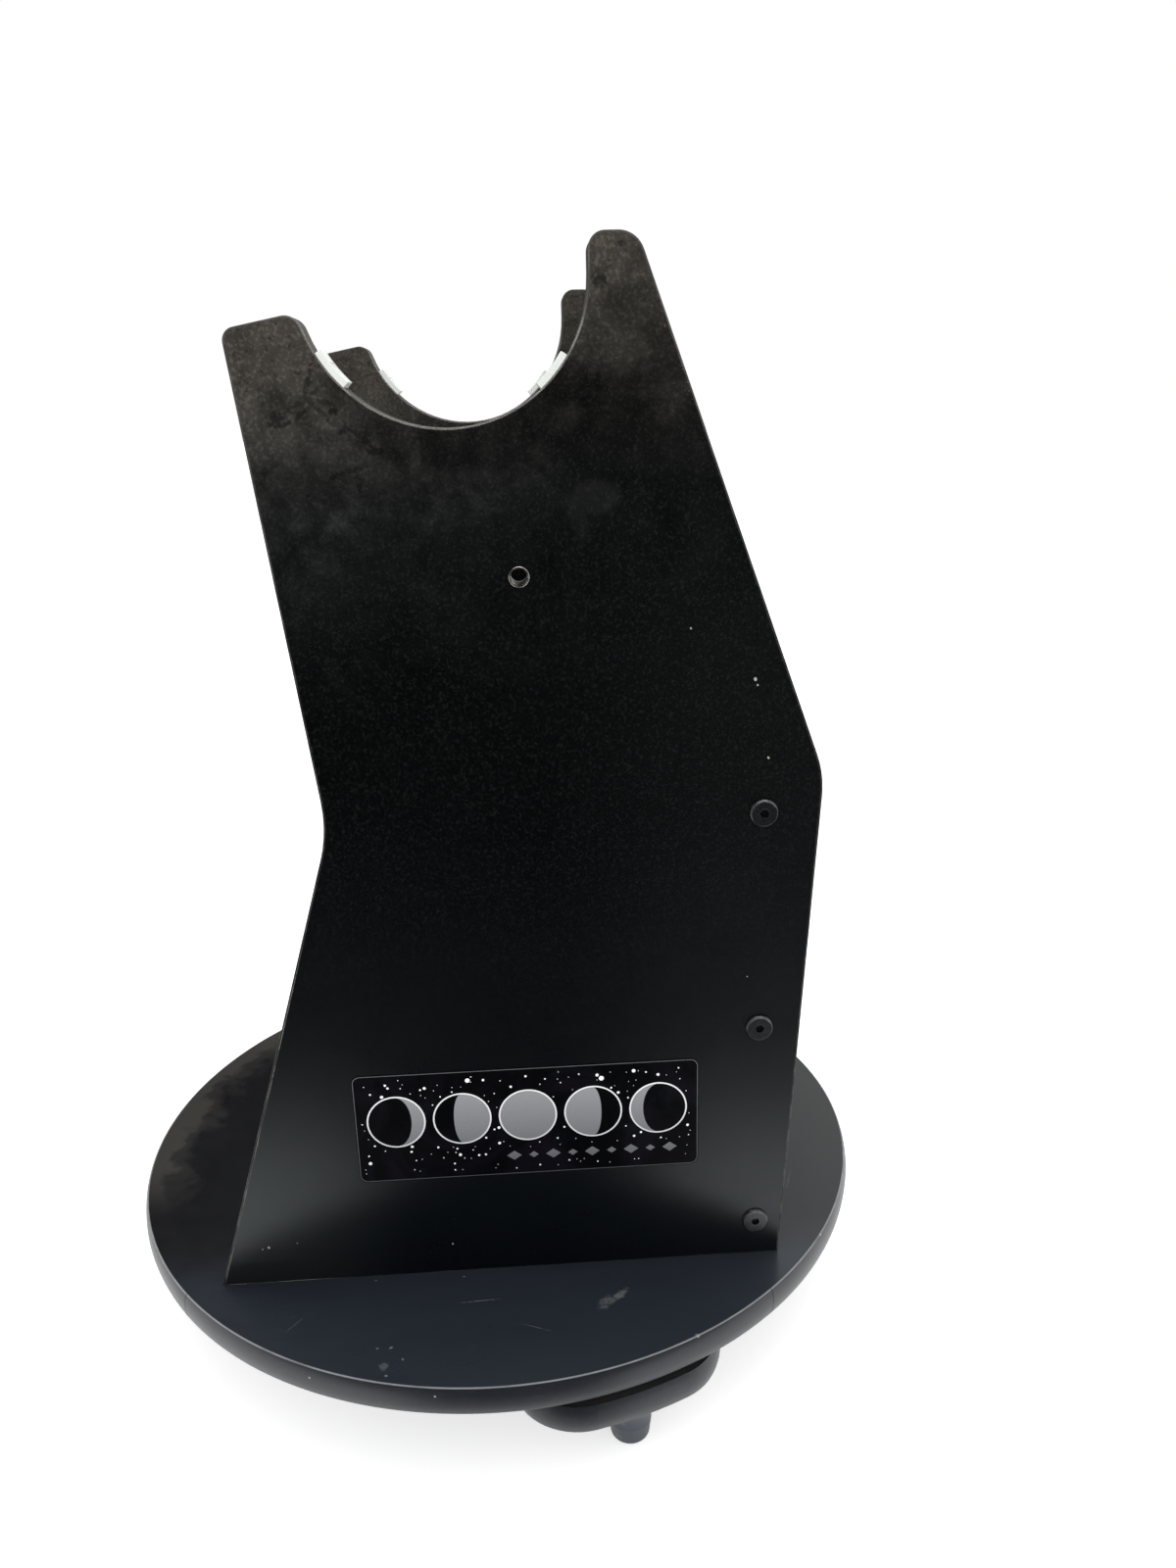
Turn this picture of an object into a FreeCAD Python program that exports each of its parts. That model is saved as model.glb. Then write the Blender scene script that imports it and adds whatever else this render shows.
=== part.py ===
import FreeCAD, Part
import math
import os

# Dobsonian alt-azimuth telescope mount: a three-lobed ground board on three
# feet, and on it a rocker box that turns about a vertical pivot bolt.
# Frame: origin on the floor under the pivot, +Z up, +X towards the front
# brace, the near side panel on -Y.  All lengths in millimetres.

os.makedirs("parts", exist_ok=True)
V = FreeCAD.Vector

# ---------------------------------------------------------------- dimensions
FOOT_H = 33.0            # feet under the ground board
FOOT_R_TOP = 20.0        # flared seat against the board
FOOT_R_WAIST = 13.2
FOOT_WAIST_Z = 13.0
FOOT_R_BOTTOM = 12.1
FOOT_EDGE_R = 4.1
FOOT_PITCH_R = 238.0     # distance of each foot from the pivot
LOBE_ANGLE = -71.0       # direction of the first lobe, degrees from +X

BOARD_T = 18.0           # melamine particle board
GAP_T = 6.0              # pads + track between the two base boards
TRACK_T = 1.0            # laminate running track under the rocker base
PAD_CLEAR = 0.1          # left between the pads and the track

DISC_R = 262.2           # rocker base over its moulding
LOBE_R = 262.0           # ground board over its moulding
LOBE_HALF_W = 68.0       # half width of each lobe
LOBE_CORNER_R = 43.0
LOBE_INNER_R = 89.0      # concave corner between two lobes
MOULD_T = 2.8            # crown of the vinyl edge moulding
MOULD_EDGE = 0.8         # its thickness at the lips
MOULD_LIP = 0.3          # how far the lips stand past each board face
TONGUE_DEPTH = 9.0       # moulding's tongue in the board's kerf
TONGUE_T = 1.6

PANEL_OUT = 162.0        # outer face of each side panel from the centre plane
BAND_T = 1.0             # edge banding on the panels and the brace

# side panel outline, X and height above the rocker base
PANEL_REAR_FOOT = -176.7
PANEL_FRONT_FOOT = 181.6
WAIST_FRONT = (200.5, 325.6, 64.0)
HORN_FRONT_OUT = (96.2, 612.3, 13.5)
HORN_FRONT_IN_Z = 612.3
HORN_FRONT_IN_R = 8.5
HORN_REAR_TOP = (-79.6, 576.3)     # a point on the rear horn's sloping top
HORN_REAR_SLOPE = 0.19
HORN_REAR_OUT_X = -112.5
HORN_REAR_OUT_R = 7.0
HORN_REAR_IN_R = 8.5
WAIST_REAR = (-83.7, 303.8, 86.0)

CRADLE_X = -2.5          # axis of the altitude bearings
CRADLE_Z = 594.5         # above the rocker base
CRADLE_R = 73.9
PAD_T = 3.6              # altitude pads
PAD_LEN = 21.0
PAD_REAR_DEG = 217.7     # pad centres round the cradle axis
PAD_FRONT_DEG = 319.2

SPRING_X = 30.7          # bushing for the altitude tension spring
SPRING_Z = 443.5
SPRING_FLANGE_R = 5.65
SPRING_BARREL_R = 5.15
SPRING_BORE_R = 4.65
SPRING_FLANGE_T = 0.8

BRACE_X = 166.0          # centre of the front brace's thickness
BRACE_H = 330.0
SIDE_SCREW_Z = (25.1, 165.0, 304.0)
BASE_SCREWS = ((-110.0, 153.0), (100.0, 153.0), (166.0, 70.0))

SCREW_HEAD_R = 8.2       # large flat head joint screws
SCREW_HEAD_H = 2.0
SCREW_NECK_R = 3.5
SCREW_CORE_R = 2.5
SCREW_LEN = 50.0
SCREW_HEX = 5.0

LABEL_X = 22.5
LABEL_Z = 108.3
LABEL_W = 212.5
LABEL_H = 75.5
LABEL_T = 0.25
LABEL_CORNER = 5.0

PIVOT_R = 5.0            # M10 pivot bolt
PIVOT_CLEAR = 0.06
HEX_AF = 17.0

AZ_PAD_R = 228.0         # azimuth pads' pitch radius
AZ_PAD_W = 40.0
AZ_PAD_D = 28.0

# --------------------------------------------------------------- stack up Z
Z_G0 = FOOT_H                    # ground board underside
Z_G1 = Z_G0 + BOARD_T            # ground board top
Z_D0 = Z_G1 + GAP_T              # rocker base underside
Z_D1 = Z_D0 + BOARD_T            # rocker base top
PANEL_IN = PANEL_OUT - BOARD_T

written = []


def save(name, shape):
    if shape.isNull():
        raise RuntimeError("empty " + name)
    if not shape.isValid():
        print("INVALID", name)
    shape.exportStep("parts/%s.step" % name)
    b = shape.BoundBox
    written.append(name)
    print("%-28s solids %d vol %10.1f  x %8.2f %8.2f y %8.2f %8.2f z %8.2f %8.2f" % (
        name, len(shape.Solids), shape.Volume, b.XMin, b.XMax, b.YMin, b.YMax,
        b.ZMin, b.ZMax))


def cyl(r, h, base, axis=V(0, 0, 1)):
    return Part.makeCylinder(r, h, base, axis)


def cone(r1, r2, h, base, axis=V(0, 0, 1)):
    return Part.makeCone(r1, r2, h, base, axis)


def box(x0, x1, y0, y1, z0, z1):
    return Part.makeBox(x1 - x0, y1 - y0, z1 - z0, V(x0, y0, z0))


def hex_prism(af, h, base, axis, turn=0.0):
    """Hexagonal prism across flats af, from base along axis."""
    rc = af / math.sqrt(3.0)
    pts = [V(rc * math.cos(math.radians(60 * i + turn)),
             rc * math.sin(math.radians(60 * i + turn)), 0) for i in range(6)]
    face = Part.Face(Part.makePolygon(pts + [pts[0]]))
    solid = face.extrude(V(0, 0, h))
    rot = FreeCAD.Rotation(V(0, 0, 1), axis)
    solid.Placement = FreeCAD.Placement(base, rot)
    return solid


def turned(profile, base=V(0, 0, 0), axis=V(0, 0, 1)):
    """Solid of revolution from (radius, height) points, set along axis."""
    pts = [V(r, 0, z) for r, z in profile]
    face = Part.Face(Part.makePolygon(pts + [pts[0]]))
    solid = face.revolve(V(0, 0, 0), V(0, 0, 1), 360)
    rot = FreeCAD.Rotation(V(0, 0, 1), axis)
    solid.Placement = FreeCAD.Placement(base, rot)
    return solid


def corner(p0, p1, p2, r):
    """Tangent points and middle point of a fillet of radius r at p1."""
    a = V(p0[0] - p1[0], p0[1] - p1[1], 0).normalize()
    b = V(p2[0] - p1[0], p2[1] - p1[1], 0).normalize()
    half = math.acos(max(-1.0, min(1.0, a.dot(b)))) / 2.0
    d = r / math.tan(half)
    t0 = V(p1[0], p1[1], 0) + a * d
    t1 = V(p1[0], p1[1], 0) + b * d
    m = (a + b).normalize()
    mid = V(p1[0], p1[1], 0) + m * (r / math.sin(half) - r)
    return t0, mid, t1


def mirror_y(shape):
    return shape.mirror(V(0, 0, 0), V(0, 1, 0))


def spin(shape, deg):
    s = shape.copy()
    s.rotate(V(0, 0, 0), V(0, 0, 1), deg)
    return s


# ------------------------------------------------------------ side panels
def xz(x, h):
    return V(x, 0, Z_D1 + h)


def line_at(p, q, h):
    """X on the line p-q at height h."""
    return p[0] + (q[0] - p[0]) * (h - p[1]) / (q[1] - p[1])


def panel_outline(drop=0.0):
    """Closed outline of a side panel; drop lengthens its foot downwards."""
    # the feet of the two side edges run on down by drop
    rear = (line_at((PANEL_REAR_FOOT, 0.0), WAIST_REAR, -drop), -drop)
    front = (line_at((PANEL_FRONT_FOOT, 0.0), WAIST_FRONT, -drop), -drop)
    hx, hz = HORN_REAR_TOP
    f = (HORN_REAR_OUT_X, hz + (HORN_REAR_OUT_X - hx) * HORN_REAR_SLOPE)
    e = (CRADLE_X + CRADLE_R, HORN_FRONT_IN_Z)
    edges = []

    def seg(a, b):
        edges.append(Part.makeLine(a, b))

    def arc(a, m, b):
        edges.append(Part.Arc(a, m, b).toShape())

    def up(v):
        return xz(v.x, v.y)

    c0, c1, c2 = [up(v) for v in corner(front, WAIST_FRONT, HORN_FRONT_OUT,
                                        WAIST_FRONT[2])]
    d0, d1, d2 = [up(v) for v in corner(WAIST_FRONT, HORN_FRONT_OUT, e,
                                        HORN_FRONT_OUT[2])]
    s1 = (CRADLE_X + CRADLE_R, CRADLE_Z)
    e0, e1, e2 = [up(v) for v in corner(HORN_FRONT_OUT, e, s1,
                                        HORN_FRONT_IN_R)]
    # fillet between the rear horn's top and the cradle
    r = HORN_REAR_IN_R
    n = V(-HORN_REAR_SLOPE, 1.0, 0).normalize()      # upward normal of the top
    t = V(n.y, -n.x, 0)                              # along the top, +X
    p = V(hx, hz, 0) - n * r                         # a point on the parallel
    cc = V(CRADLE_X, CRADLE_Z, 0)
    w = p - cc
    b = w.dot(t)
    k = w.dot(w) - (CRADLE_R + r) ** 2
    s = -b - math.sqrt(b * b - k)
    fc = p + t * s
    on_top = fc + n * r
    on_arc = cc + (fc - cc).normalize() * CRADLE_R
    mid = fc + ((on_top - fc).normalize() + (on_arc - fc).normalize()).normalize() * r
    f0, f1, f2 = [up(v) for v in corner((on_top.x, on_top.y), f, WAIST_REAR,
                                        HORN_REAR_OUT_R)]
    g0, g1, g2 = [up(v) for v in corner(f, WAIST_REAR, rear, WAIST_REAR[2])]
    seg(xz(*rear), xz(*front))
    seg(xz(*front), c0)
    arc(c0, c1, c2)
    seg(c2, d0)
    arc(d0, d1, d2)
    seg(d2, e0)
    arc(e0, e1, e2)
    seg(e2, xz(*s1))
    arc(xz(*s1), xz(CRADLE_X, CRADLE_Z - CRADLE_R), up(on_arc))
    arc(up(on_arc), up(mid), up(on_top))
    seg(up(on_top), f0)
    arc(f0, f1, f2)
    seg(f2, g0)
    arc(g0, g1, g2)
    seg(g2, xz(*rear))
    return Part.Wire(edges)


def extrude_y(face, y0, y1):
    solid = face.extrude(V(0, y1 - y0, 0))
    solid.translate(V(0, y0, 0))
    return solid


outer_face = Part.Face(panel_outline())
long_face = Part.Face(panel_outline(BAND_T))
core_face = long_face.makeOffset2D(-BAND_T, 2)
outer_solid = extrude_y(outer_face, -PANEL_OUT, -PANEL_IN)
core_solid = extrude_y(core_face, -PANEL_OUT, -PANEL_IN)
floor_cut = box(-400, 400, -400, 400, Z_D1 - 50, Z_D1)
core_solid = core_solid.cut(floor_cut)
band_near = outer_solid.cut(core_solid)


def screw(base, axis, head=True):
    """Flat-headed joint screw; base is on the surface under the head."""
    cut = 0.8
    prof = [(0, -SCREW_HEAD_H), (SCREW_HEAD_R - cut, -SCREW_HEAD_H),
            (SCREW_HEAD_R, -SCREW_HEAD_H + cut), (SCREW_HEAD_R, 0),
            (SCREW_NECK_R, 0), (SCREW_NECK_R, 16.0), (SCREW_CORE_R, 17.5),
            (SCREW_CORE_R, SCREW_LEN - 5.0), (0.6, SCREW_LEN), (0, SCREW_LEN)]
    s = turned(prof, base, axis)
    if head:
        s = s.cut(hex_prism(SCREW_HEX, 3.2,
                            base + axis * (-SCREW_HEAD_H - 0.4), axis))
    return s


# screws through the side panels into the brace
side_screws_near, side_cuts_near = [], []
for h in SIDE_SCREW_Z:
    p = V(BRACE_X, -PANEL_OUT, Z_D1 + h)
    side_screws_near.append(screw(p, V(0, 1, 0)))
    side_cuts_near.append(screw(p, V(0, 1, 0), head=False))

# screws up through the rocker base into the panels and the brace
HEAD_SINK = SCREW_HEAD_H + 0.4
base_screws, base_cuts, base_sinks = [], [], []
for x, y in BASE_SCREWS:
    for sgn in (-1, 1):
        p = V(x, sgn * y, Z_D0 + HEAD_SINK)
        base_screws.append(screw(p, V(0, 0, 1)))
        base_cuts.append(screw(p, V(0, 0, 1), head=False))
        base_sinks.append(cyl(SCREW_HEAD_R + 0.4, HEAD_SINK, V(x, sgn * y, Z_D0)))

# bushing for the spring hook
spring_bush = turned([
    (SPRING_BORE_R, -SPRING_FLANGE_T), (SPRING_FLANGE_R - 0.3, -SPRING_FLANGE_T),
    (SPRING_FLANGE_R, -SPRING_FLANGE_T + 0.3), (SPRING_FLANGE_R, 0),
    (SPRING_BARREL_R, 0), (SPRING_BARREL_R, BOARD_T), (SPRING_BORE_R, BOARD_T)],
    V(SPRING_X, -PANEL_OUT, Z_D1 + SPRING_Z), V(0, 1, 0))
spring_hole = cyl(SPRING_BARREL_R, BOARD_T + 2,
                  V(SPRING_X, -PANEL_OUT - 1, Z_D1 + SPRING_Z), V(0, 1, 0))


# altitude pads, curved slips lying on the cradle, each held by two tacks
def altitude_pad(deg):
    half = math.degrees(PAD_LEN / 2.0 / CRADLE_R)
    r1 = CRADLE_R
    r0 = CRADLE_R - PAD_T

    def pt(r, a):
        return xz(CRADLE_X + r * math.cos(math.radians(a)),
                  CRADLE_Z + r * math.sin(math.radians(a)))

    e = [Part.Arc(pt(r0, deg - half), pt(r0, deg), pt(r0, deg + half)).toShape(),
         Part.makeLine(pt(r0, deg + half), pt(r1, deg + half)),
         Part.Arc(pt(r1, deg + half), pt(r1, deg), pt(r1, deg - half)).toShape(),
         Part.makeLine(pt(r1, deg - half), pt(r0, deg - half))]
    return extrude_y(Part.Face(Part.Wire(e)), -PANEL_OUT, -PANEL_IN)


def tack(deg, y, grow=False):
    d = V(math.cos(math.radians(deg)), 0, math.sin(math.radians(deg)))
    base = xz(CRADLE_X, CRADLE_Z) + V(0, y, 0) + d * (CRADLE_R - PAD_T + 1.6)
    prof = [(0, -0.7), (1.1, -0.7), (1.8, -0.2), (1.8, 0), (0.6, 0), (0.6, 9.0),
            (0, 10.5)]
    s = turned(prof, base, d)
    if grow:
        s = s.fuse(cyl(2.0, 4.0, base - d * 4.0, d))
    return s


pads_near, tacks_near, tack_cuts = {}, [], []
for key, deg in (("rear", PAD_REAR_DEG), ("front", PAD_FRONT_DEG)):
    pad = altitude_pad(deg)
    for y in (-PANEL_OUT + 4.5, -PANEL_IN - 4.5):
        tacks_near.append(tack(deg, y))
        cutter = tack(deg, y, grow=True)
        pad = pad.cut(cutter)
        tack_cuts.append(tack(deg, y))
    pads_near[key] = pad

panel_near = core_solid
for c in side_cuts_near + base_cuts + [spring_hole] + tack_cuts:
    panel_near = panel_near.cut(c)
for c in tack_cuts:
    band_near = band_near.cut(c)

save("side_panel_near", panel_near)
save("side_panel_far", mirror_y(panel_near))
save("panel_edge_band_near", band_near)
save("panel_edge_band_far", mirror_y(band_near))
for key, pad in pads_near.items():
    save("altitude_pad_near_" + key, pad)
    save("altitude_pad_far_" + key, mirror_y(pad))
save("altitude_pad_tacks", Part.makeCompound(
    tacks_near + [mirror_y(s) for s in tacks_near]))
save("spring_bushing_near", spring_bush)
save("spring_bushing_far", mirror_y(spring_bush))
save("panel_screws", Part.makeCompound(
    side_screws_near + [mirror_y(s) for s in side_screws_near]))

# ------------------------------------------------------------ front brace
brace = box(BRACE_X - BOARD_T / 2, BRACE_X + BOARD_T / 2, -PANEL_IN, PANEL_IN,
            Z_D1, Z_D1 + BRACE_H - BAND_T)
for c in side_cuts_near:
    brace = brace.cut(c).cut(mirror_y(c))
for c in base_cuts:
    brace = brace.cut(c)
save("front_brace", brace)
save("brace_top_band", box(BRACE_X - BOARD_T / 2, BRACE_X + BOARD_T / 2,
                           -PANEL_IN, PANEL_IN, Z_D1 + BRACE_H - BAND_T,
                           Z_D1 + BRACE_H))

# ------------------------------------------------------------ vinyl label
lw, lh = LABEL_W / 2.0, LABEL_H / 2.0
pts = [(-lw, -lh), (lw, -lh), (lw, lh), (-lw, lh)]
edges = []
last = None
first = None
for i in range(4):
    t0, m, t1 = corner(pts[i - 1], pts[i], pts[(i + 1) % 4], LABEL_CORNER)
    t0, m, t1 = [xz(LABEL_X + v.x, LABEL_Z + v.y) for v in (t0, m, t1)]
    if last is not None:
        edges.append(Part.makeLine(last, t0))
    else:
        first = t0
    edges.append(Part.Arc(t0, m, t1).toShape())
    last = t1
edges.append(Part.makeLine(last, first))
save("name_label", extrude_y(Part.Face(Part.Wire(edges)),
                             -PANEL_OUT - LABEL_T, -PANEL_OUT))


# --------------------------------------------- boards with vinyl moulding
def mould_profile(r, z0, z1):
    """Tee section whose crown is at radius r, drawn in the XZ plane."""
    c = r - MOULD_T                      # board edge
    lip = c + MOULD_EDGE
    zm = (z0 + z1) / 2.0
    a, b = z0 - MOULD_LIP, z1 + MOULD_LIP
    e = []

    def seg(p, q):
        e.append(Part.makeLine(V(p[0], 0, p[1]), V(q[0], 0, q[1])))

    seg((c, zm - TONGUE_T / 2), (c, a))
    seg((c, a), (lip, a))
    e.append(Part.Arc(V(lip, 0, a), V(r, 0, zm), V(lip, 0, b)).toShape())
    seg((lip, b), (c, b))
    seg((c, b), (c, zm + TONGUE_T / 2))
    seg((c, zm + TONGUE_T / 2), (c - TONGUE_DEPTH, zm + TONGUE_T / 2))
    seg((c - TONGUE_DEPTH, zm + TONGUE_T / 2), (c - TONGUE_DEPTH, zm - TONGUE_T / 2))
    seg((c - TONGUE_DEPTH, zm - TONGUE_T / 2), (c, zm - TONGUE_T / 2))
    return Part.Face(Part.Wire(e))


# rocker base: round board
disc_mould = mould_profile(DISC_R, Z_D0, Z_D1).revolve(V(0, 0, 0), V(0, 0, 1), 360)
disc = cyl(DISC_R - MOULD_T, BOARD_T, V(0, 0, Z_D0)).cut(disc_mould)
BUSH_R = 9.5
disc = disc.cut(cyl(BUSH_R, 60, V(0, 0, Z_D0 - 20)))
for c in base_cuts + base_sinks:
    disc = disc.cut(c)
save("rocker_base_board", disc)
save("rocker_base_moulding", disc_mould)
save("azimuth_track", cyl(254.0, TRACK_T, V(0, 0, Z_D0 - TRACK_T)).cut(
    cyl(205.0, TRACK_T + 2, V(0, 0, Z_D0 - TRACK_T - 1))))
save("base_screws", Part.makeCompound(base_screws))

# ground board: three lobes; the moulding is built arc by arc round it
u0 = math.sqrt((LOBE_R - LOBE_CORNER_R) ** 2 - (LOBE_HALF_W - LOBE_CORNER_R) ** 2)
v0 = LOBE_HALF_W - LOBE_CORNER_R
alpha = math.degrees(math.atan2(v0, u0))
cd = (LOBE_HALF_W + LOBE_INNER_R) / math.sin(math.radians(60))
cu = cd * math.cos(math.radians(60))


def lobe_path(inset):
    """Edges of the ground board's outline, inset from the moulding's crown."""
    out = []
    W = LOBE_HALF_W - inset
    for k in range(3):
        base = LOBE_ANGLE + 120.0 * k

        def P(u, v):
            a = math.radians(base)
            return V(u * math.cos(a) - v * math.sin(a),
                     u * math.sin(a) + v * math.cos(a), 0)

        R = LOBE_R - inset
        rc = LOBE_CORNER_R - inset
        ri = LOBE_INNER_R + inset
        ca, sa = math.cos(math.radians(alpha)), math.sin(math.radians(alpha))
        # outer arc
        out.append(Part.Arc(P(R * ca, -R * sa), P(R, 0), P(R * ca, R * sa)).toShape())
        # corner arc from the outer arc to the side
        h = math.radians((alpha + 90.0) / 2.0)
        out.append(Part.Arc(P(R * ca, R * sa),
                            P(u0 + rc * math.cos(h), v0 + rc * math.sin(h)),
                            P(u0, W)).toShape())
        out.append(Part.makeLine(P(u0, W), P(cu, W)))
        # concave arc to the next lobe; its centre is on the bisector
        q = cd
        c60, s60 = math.cos(math.radians(60)), math.sin(math.radians(60))
        m = (q - ri)
        u2, v2 = cu, -W                       # in the next lobe's frame
        n_a = math.radians(120.0)
        nxt = V(u2 * math.cos(n_a) - v2 * math.sin(n_a),
                u2 * math.sin(n_a) + v2 * math.cos(n_a), 0)
        out.append(Part.Arc(P(cu, W), P(m * c60, m * s60),
                            P(nxt.x, nxt.y)).toShape())
        # side and corner of the next lobe, in its own frame
        u3, v3 = u0, -W
        far = V(u3 * math.cos(n_a) - v3 * math.sin(n_a),
                u3 * math.sin(n_a) + v3 * math.cos(n_a), 0)
        out.append(Part.makeLine(P(nxt.x, nxt.y), P(far.x, far.y)))
        b0 = math.radians(-alpha)
        end = V(R * math.cos(b0), R * math.sin(b0), 0)
        midp = V(u0 + rc * math.cos(-h), -v0 + rc * math.sin(-h), 0)

        def N(p):
            return P(p.x * math.cos(n_a) - p.y * math.sin(n_a),
                     p.x * math.sin(n_a) + p.y * math.cos(n_a))

        out.append(Part.Arc(P(far.x, far.y), N(midp), N(end)).toShape())
    return out


path = lobe_path(0.0)
core_wire = Part.Wire(lobe_path(MOULD_T))
ground = Part.Face(core_wire).extrude(V(0, 0, BOARD_T))
ground.translate(V(0, 0, Z_G0))

pieces = []
for e in path:
    p0 = e.valueAt(e.FirstParameter)
    p1 = e.valueAt(e.LastParameter)
    d = e.tangentAt(e.FirstParameter).normalize()
    n = V(d.y, -d.x, 0)                       # outward, path runs anticlockwise
    prof = mould_profile(0.0, Z_G0, Z_G1)
    prof.rotate(V(0, 0, 0), V(0, 0, 1), math.degrees(math.atan2(n.y, n.x)))
    prof.translate(V(p0.x, p0.y, 0))
    if isinstance(e.Curve, Part.Circle):
        c = e.Curve.Center
        ang = e.Length / e.Curve.Radius
        # turn direction: anticlockwise when the centre lies on the left
        left = V(-d.y, d.x, 0)
        sgn = 1.0 if left.dot(c - p0) > 0 else -1.0
        pieces.append(prof.revolve(V(c.x, c.y, 0), V(0, 0, sgn), math.degrees(ang)))
    else:
        pieces.append(prof.extrude(V(p1.x - p0.x, p1.y - p0.y, 0)))
ground_mould = pieces[0].fuse(pieces[1:])
if len(ground_mould.Solids) == 1:
    ground_mould = ground_mould.Solids[0]
tongue_ring = Part.Face(Part.Wire(lobe_path(MOULD_T))).extrude(V(0, 0, TONGUE_T)).cut(
    Part.Face(Part.Wire(lobe_path(MOULD_T + TONGUE_DEPTH))).extrude(V(0, 0, TONGUE_T)))
tongue_ring.translate(V(0, 0, (Z_G0 + Z_G1 - TONGUE_T) / 2.0))
ground = ground.cut(tongue_ring)

# feet, their screws, pads and pad nails, one set on each lobe
FOOT_SCREW_Z = FOOT_H - 9.5      # seat of the screw's head, up inside the foot
fr, fe = FOOT_R_BOTTOM, FOOT_EDGE_R
e45 = fe * math.sqrt(0.5)
flare_m = ((FOOT_R_WAIST + FOOT_R_TOP) / 2 - 1.7, (FOOT_WAIST_Z + FOOT_H) / 2 + 1.5)
foot_wire = Part.Wire([
    Part.makeLine(V(0, 0, 0), V(fr - fe, 0, 0)),
    Part.Arc(V(fr - fe, 0, 0), V(fr - fe + e45, 0, fe - e45), V(fr, 0, fe)).toShape(),
    Part.makeLine(V(fr, 0, fe), V(FOOT_R_WAIST, 0, FOOT_WAIST_Z)),
    Part.Arc(V(FOOT_R_WAIST, 0, FOOT_WAIST_Z), V(flare_m[0], 0, flare_m[1]),
             V(FOOT_R_TOP, 0, FOOT_H)).toShape(),
    Part.makeLine(V(FOOT_R_TOP, 0, FOOT_H), V(0, 0, FOOT_H)),
    Part.makeLine(V(0, 0, FOOT_H), V(0, 0, 0))])
foot = Part.Face(foot_wire).revolve(V(0, 0, 0), V(0, 0, 1), 360)
foot = foot.cut(cyl(4.8, FOOT_SCREW_Z + 0.5, V(0, 0, -0.5))).cut(
    cyl(2.3, FOOT_H, V(0, 0, 0)))
foot_screw = turned([(0, -3.0), (3.0, -3.0), (4.2, -1.6), (4.2, 0), (2.1, 0),
                     (2.1, 20.0), (0, 23.5)], V(0, 0, FOOT_SCREW_Z))
foot_screw = foot_screw.cut(hex_prism(2.6, 2.0, V(0, 0, FOOT_SCREW_Z - 3.5),
                                      V(0, 0, 1)))
foot_hole = turned([(0, 0), (2.1, 0), (2.1, 20.0), (0, 23.5)],
                   V(0, 0, FOOT_SCREW_Z))

az_pad = box(-AZ_PAD_D / 2, AZ_PAD_D / 2, -AZ_PAD_W / 2, AZ_PAD_W / 2, Z_G1,
             Z_D0 - TRACK_T - PAD_CLEAR)
vert = [e for e in az_pad.Edges if abs(e.BoundBox.ZLength) > 1.0]
az_pad = az_pad.makeFillet(4.0, vert)
PAD_TOP = Z_D0 - TRACK_T - PAD_CLEAR


def nail(y):
    return turned([(0, -0.8), (2.0, -0.8), (2.0, 0), (0.8, 0), (0.8, 13.0),
                   (0, 14.5)], V(0, y, PAD_TOP - 1.4), V(0, 0, -1))


nails = [nail(-11.0), nail(11.0)]
for y in (-11.0, 11.0):
    az_pad = az_pad.cut(nail(y)).cut(cyl(2.2, 5.0, V(0, y, PAD_TOP - 1.4)))

names = ("front", "far", "rear")
foot_screws, pad_nails = [], []
for k in range(3):
    a = LOBE_ANGLE + 120.0 * k
    f = foot.copy()
    f.translate(V(FOOT_PITCH_R, 0, 0))
    save("foot_" + names[k], spin(f, a))
    s = foot_screw.copy()
    s.translate(V(FOOT_PITCH_R, 0, 0))
    foot_screws.append(spin(s, a))
    hsol = foot_hole.copy()
    hsol.translate(V(FOOT_PITCH_R, 0, 0))
    ground = ground.cut(spin(hsol, a))
    p = az_pad.copy()
    p.translate(V(AZ_PAD_R, 0, 0))
    save("azimuth_pad_" + names[k], spin(p, a))
    for n in nails:
        q = n.copy()
        q.translate(V(AZ_PAD_R, 0, 0))
        q = spin(q, a)
        pad_nails.append(q)
        ground = ground.cut(q)
ground = ground.cut(cyl(PIVOT_R + 0.25, 60, V(0, 0, 0)))
save("ground_board", ground)
save("ground_board_moulding", ground_mould)
save("foot_screws", Part.makeCompound(foot_screws))
save("azimuth_pad_nails", Part.makeCompound(pad_nails))

# ------------------------------------------------------------ pivot
FLANGE_T = 2.0
WASHER_T = 2.0
NUT_H = 8.0
z_flange = Z_D1 + FLANGE_T
z_washer = z_flange + PAD_CLEAR
z_nut = z_washer + WASHER_T
z_end = z_nut + NUT_H + 4.5
save("pivot_bushing", turned([
    (PIVOT_R + PIVOT_CLEAR, Z_D0), (BUSH_R, Z_D0), (BUSH_R, Z_D1), (16.0, Z_D1),
    (16.0, z_flange - 0.5), (15.5, z_flange), (PIVOT_R + PIVOT_CLEAR, z_flange)]))
save("pivot_washer_upper", cyl(14.5, WASHER_T, V(0, 0, z_washer)).cut(
    cyl(PIVOT_R + 0.25, 40, V(0, 0, z_washer - 10))))
save("pivot_washer_lower", cyl(14.5, WASHER_T, V(0, 0, Z_G0 - WASHER_T)).cut(
    cyl(PIVOT_R + 0.25, 40, V(0, 0, 0))))
nut = hex_prism(HEX_AF, NUT_H, V(0, 0, z_nut), V(0, 0, 1)).common(
    cone(HEX_AF * 0.70, HEX_AF * 0.5, HEX_AF * 0.2 * math.sqrt(3) * 1.8,
         V(0, 0, z_nut + NUT_H - 4.0)).fuse(cyl(HEX_AF, NUT_H - 3.9, V(0, 0, z_nut))))
collar = turned([(6.6, 0), (7.6, 0), (7.6, 2.2), (7.0, 3.0), (6.0, 3.0), (6.0, 2.6),
                 (6.6, 2.6)], V(0, 0, z_nut + NUT_H))
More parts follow.
